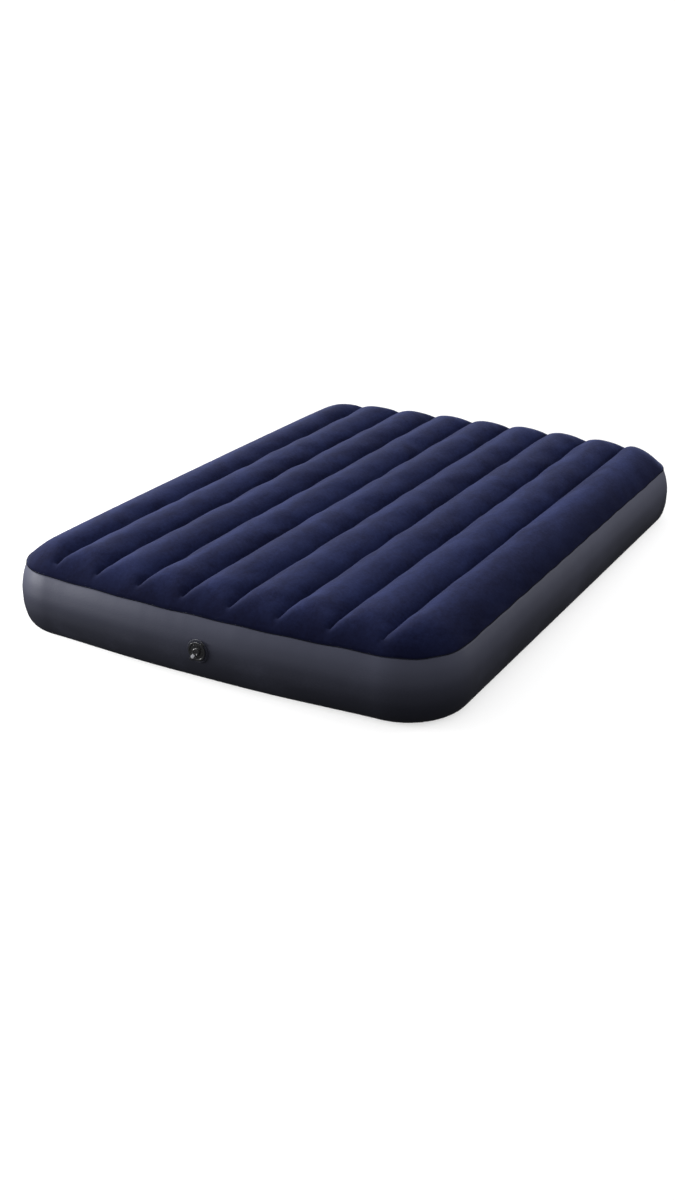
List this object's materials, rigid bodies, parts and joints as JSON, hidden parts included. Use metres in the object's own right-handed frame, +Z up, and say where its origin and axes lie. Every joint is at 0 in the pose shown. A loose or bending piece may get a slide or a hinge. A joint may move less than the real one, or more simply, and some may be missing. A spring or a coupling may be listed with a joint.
{
  "type": "air mattress",
  "caption": "Double inflatable camping bed with a ribbed flocked top, bulging vinyl side wall, internal tension curtains and a plugged air valve in its foot end.",
  "frame": {"origin": "on the floor below the middle of the bed, on the base sheet's middle land", "axes": "+Z up, X across the bed, +Y along the bed from the foot, which holds the valve and faces -Y, to the head"},
  "size_m": [1.37, 1.9212, 0.242],
  "materials": {
    "navy_flock": "matt flocked velvet on vinyl, dark navy blue",
    "charcoal_vinyl": "satin charcoal vinyl film with a fine leather grain",
    "base_vinyl": "satin dark grey vinyl film",
    "strand_white": "rows of white polyester strands",
    "weld_tape": "smooth vinyl tape",
    "valve_black": "satin black moulded vinyl",
    "plug_grey": "glossy dark grey moulded vinyl",
    "clear_tab": "glossy pale soft vinyl",
    "soft_rubber": "soft matt rubber"
  },
  "bodies": {
    "chamber": {"base_sheet": "base_vinyl", "side_wall_band": "charcoal_vinyl", "tension_curtain_1": "strand_white", "tension_curtain_2": "strand_white", "tension_curtain_3": "strand_white", "tension_curtain_4": "strand_white", "tension_curtain_5": "strand_white", "tension_curtain_6": "strand_white", "tension_curtain_7": "strand_white", "tension_curtain_8": "strand_white", "base_weld_strip_1": "weld_tape", "base_weld_strip_2": "weld_tape", "base_weld_strip_3": "weld_tape", "base_weld_strip_4": "weld_tape", "base_weld_strip_5": "weld_tape", "base_weld_strip_6": "weld_tape", "base_weld_strip_7": "weld_tape", "base_weld_strip_8": "weld_tape"},
    "top_panel": {"flocked_top_sheet": "navy_flock", "top_weld_strip_1": "weld_tape", "top_weld_strip_2": "weld_tape", "top_weld_strip_3": "weld_tape", "top_weld_strip_4": "weld_tape", "top_weld_strip_5": "weld_tape", "top_weld_strip_6": "weld_tape", "top_weld_strip_7": "weld_tape", "top_weld_strip_8": "weld_tape"},
    "valve": {"valve_seat": "valve_black", "strap_anchor": "valve_black"},
    "large_plug": {"large_plug": "plug_grey", "plug_gasket": "soft_rubber", "large_plug_strap": "plug_grey", "large_plug_pull_tab": "plug_grey", "small_strap_post": "plug_grey", "flap_clip": "valve_black"},
    "small_plug": {"small_plug": "plug_grey", "small_plug_strap": "plug_grey", "small_plug_pull_tab": "clear_tab"},
    "check_flap": {"check_flap": "soft_rubber"}
  },
  "joints": [
    {"name": "top_panel_sink", "type": "slide", "parent": "chamber", "child": "top_panel", "axis": [0, 0, -1], "range_m": [0, 0.1], "stiffness_N_per_m": 8000, "springref_m": -0.015, "deforming": ["side_wall_band", "tension_curtain_1", "tension_curtain_2", "tension_curtain_3", "tension_curtain_4", "tension_curtain_5", "tension_curtain_6", "tension_curtain_7", "tension_curtain_8"]},
    {"name": "valve_ride", "type": "slide", "parent": "chamber", "child": "valve", "axis": [0, 0, -1], "range_m": [0, 0.0494]},
    {"name": "large_plug_flip", "type": "hinge", "parent": "valve", "child": "large_plug", "pos_m": [0.02745, -0.9596, 0.11566], "axis": [-0.7986, 0, 0.6018], "range_deg": [0, 115]},
    {"name": "small_plug_flip", "type": "hinge", "parent": "large_plug", "child": "small_plug", "pos_m": [0.01843, -0.9639, 0.10368], "axis": [-0.7986, 0, 0.6018], "range_deg": [0, 115]},
    {"name": "check_flap_swing", "type": "hinge", "parent": "large_plug", "child": "check_flap", "pos_m": [0.0159, -0.9463, 0.10033], "axis": [0.7986, 0, -0.6018], "range_deg": [0, 60], "stiffness_Nm_per_rad": 0.0005, "springref_deg": -5.73}
  ],
  "couplings": [
    {"joint": "valve_ride", "follows": "top_panel_sink", "ratio": 0.48942}
  ]
}
